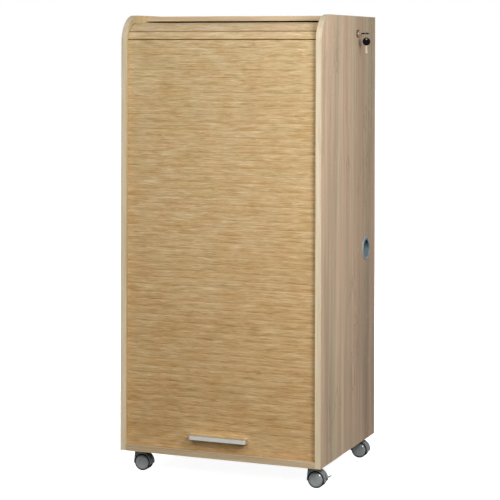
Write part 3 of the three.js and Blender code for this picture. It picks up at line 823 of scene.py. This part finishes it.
def camera():
    low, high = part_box("bottom_board")
    middle = (low + high) / 2
    data = bpy.data.cameras.new("camera")
    data.sensor_width = CAMERA_SENSOR
    data.lens = CAMERA_LENS
    data.shift_x = CAMERA_SIDE_SHIFT
    cam = bpy.data.objects.new("camera", data)
    bpy.context.scene.collection.objects.link(cam)
    cam.location = (
        middle.x + CAMERA_DISTANCE * math.sin(CAMERA_AZIMUTH),
        -CAMERA_DISTANCE * math.cos(CAMERA_AZIMUTH),
        low.z + CAMERA_HEIGHT,
    )
    cam.rotation_euler = (math.pi / 2, CAMERA_ROLL, CAMERA_AZIMUTH)
    bpy.context.scene.camera = cam
    shift_while_here(cam)


def shift_while_here(cam):
    """The picture's downward shift belongs to this stand of the camera only, and goes when it is moved."""
    stand = bpy.data.objects.new("camera_stand", None)
    bpy.context.scene.collection.objects.link(stand)
    stand.location = cam.location
    curve = cam.data.driver_add("shift_y")
    for modifier in list(curve.modifiers):
        curve.modifiers.remove(modifier)
    curve.driver.type = "AVERAGE"
    away = curve.driver.variables.new()
    away.type = "LOC_DIFF"
    for target, thing in zip(away.targets, (cam, stand)):
        target.id = thing
        target.transform_space = "WORLD_SPACE"
    for distance, shift in ((0.0, CAMERA_SHIFT), (CAMERA_STAY, CAMERA_SHIFT), (2 * CAMERA_STAY, 0.0)):
        curve.keyframe_points.insert(distance, shift).interpolation = "LINEAR"


def area_light(name, place, aim, side, power, mirrored=True):
    """A square lamp that the camera doesn't see; it shows in mirror reflections if mirrored."""
    data = bpy.data.lights.new(name, "AREA")
    data.shape = "SQUARE"
    data.size = side
    data.energy = power
    lamp = bpy.data.objects.new(name, data)
    bpy.context.scene.collection.objects.link(lamp)
    lamp.visible_camera = False
    lamp.visible_glossy = mirrored
    lamp.location = place
    lamp.rotation_euler = (Vector(aim) - Vector(place)).to_track_quat("-Z", "Y").to_euler()


def studio_floor():
    """A pale floor that glows softly for the camera and meets the white backdrop without an edge."""
    look = Look("pale_studio_floor")
    mottle = look.noise((3, 3, 3), 3)
    path = look.add("LightPath")
    seen = path.outputs["Is Camera Ray"]
    pale = look.ramp(mottle, (0.3, rgb("f2f2f1")), (0.7, rgb("f6f6f5")))
    colour = look.mix(seen, rgb("62605c"), pale)
    mirrored = look.calc("MULTIPLY", path.outputs["Is Glossy Ray"], FLOOR_GLOW_IN_REFLECTIONS)
    glow = look.calc("MAXIMUM", look.calc("MULTIPLY", seen, FLOOR_GLOW), mirrored)
    look.done(colour, 0.7, mottle, 0.05 * MM, {"Emission Color": (1, 1, 1, 1), "Emission Strength": glow})
    bm = bmesh.new()
    bmesh.ops.create_grid(bm, x_segments=1, y_segments=1, size=FLOOR_HALF_SIDE)
    mesh = bpy.data.meshes.new("floor")
    bm.to_mesh(mesh)
    bm.free()
    mesh.materials.append(look.material)
    floor = bpy.data.objects.new("floor", mesh)
    floor.location.z = CAD_BOX[0].z
    bpy.context.scene.collection.objects.link(floor)


def studio_world():
    """White all round, dim as light on surfaces, brighter in reflections, full white as the backdrop."""
    world = bpy.data.worlds.new("studio")
    bpy.context.scene.world = world
    world.use_nodes = True
    tree = world.node_tree
    path = tree.nodes.new("ShaderNodeLightPath")
    reflected = tree.nodes.new("ShaderNodeMix")
    tree.links.new(path.outputs["Is Glossy Ray"], reflected.inputs["Factor"])
    reflected.inputs["A"].default_value = AMBIENT
    reflected.inputs["B"].default_value = AMBIENT_IN_REFLECTIONS
    viewed = tree.nodes.new("ShaderNodeMix")
    tree.links.new(path.outputs["Is Camera Ray"], viewed.inputs["Factor"])
    tree.links.new(reflected.outputs["Result"], viewed.inputs["A"])
    viewed.inputs["B"].default_value = AMBIENT_IN_VIEW
    background = tree.nodes["Background"]
    tree.links.new(viewed.outputs["Result"], background.inputs["Strength"])
    background.inputs["Color"].default_value = (1, 1, 1, 1)


def studio():
    studio_floor()
    studio_world()
    area_light("front_light", **FRONT_LIGHT)
    area_light("side_light", **SIDE_LIGHT)
    area_light("rear_fill", **REAR_LIGHT, mirrored=False)
    bpy.context.scene.view_settings.view_transform = "Standard"


carcass()
shutter_front()
lock_and_keys()
castors()
camera()
studio()
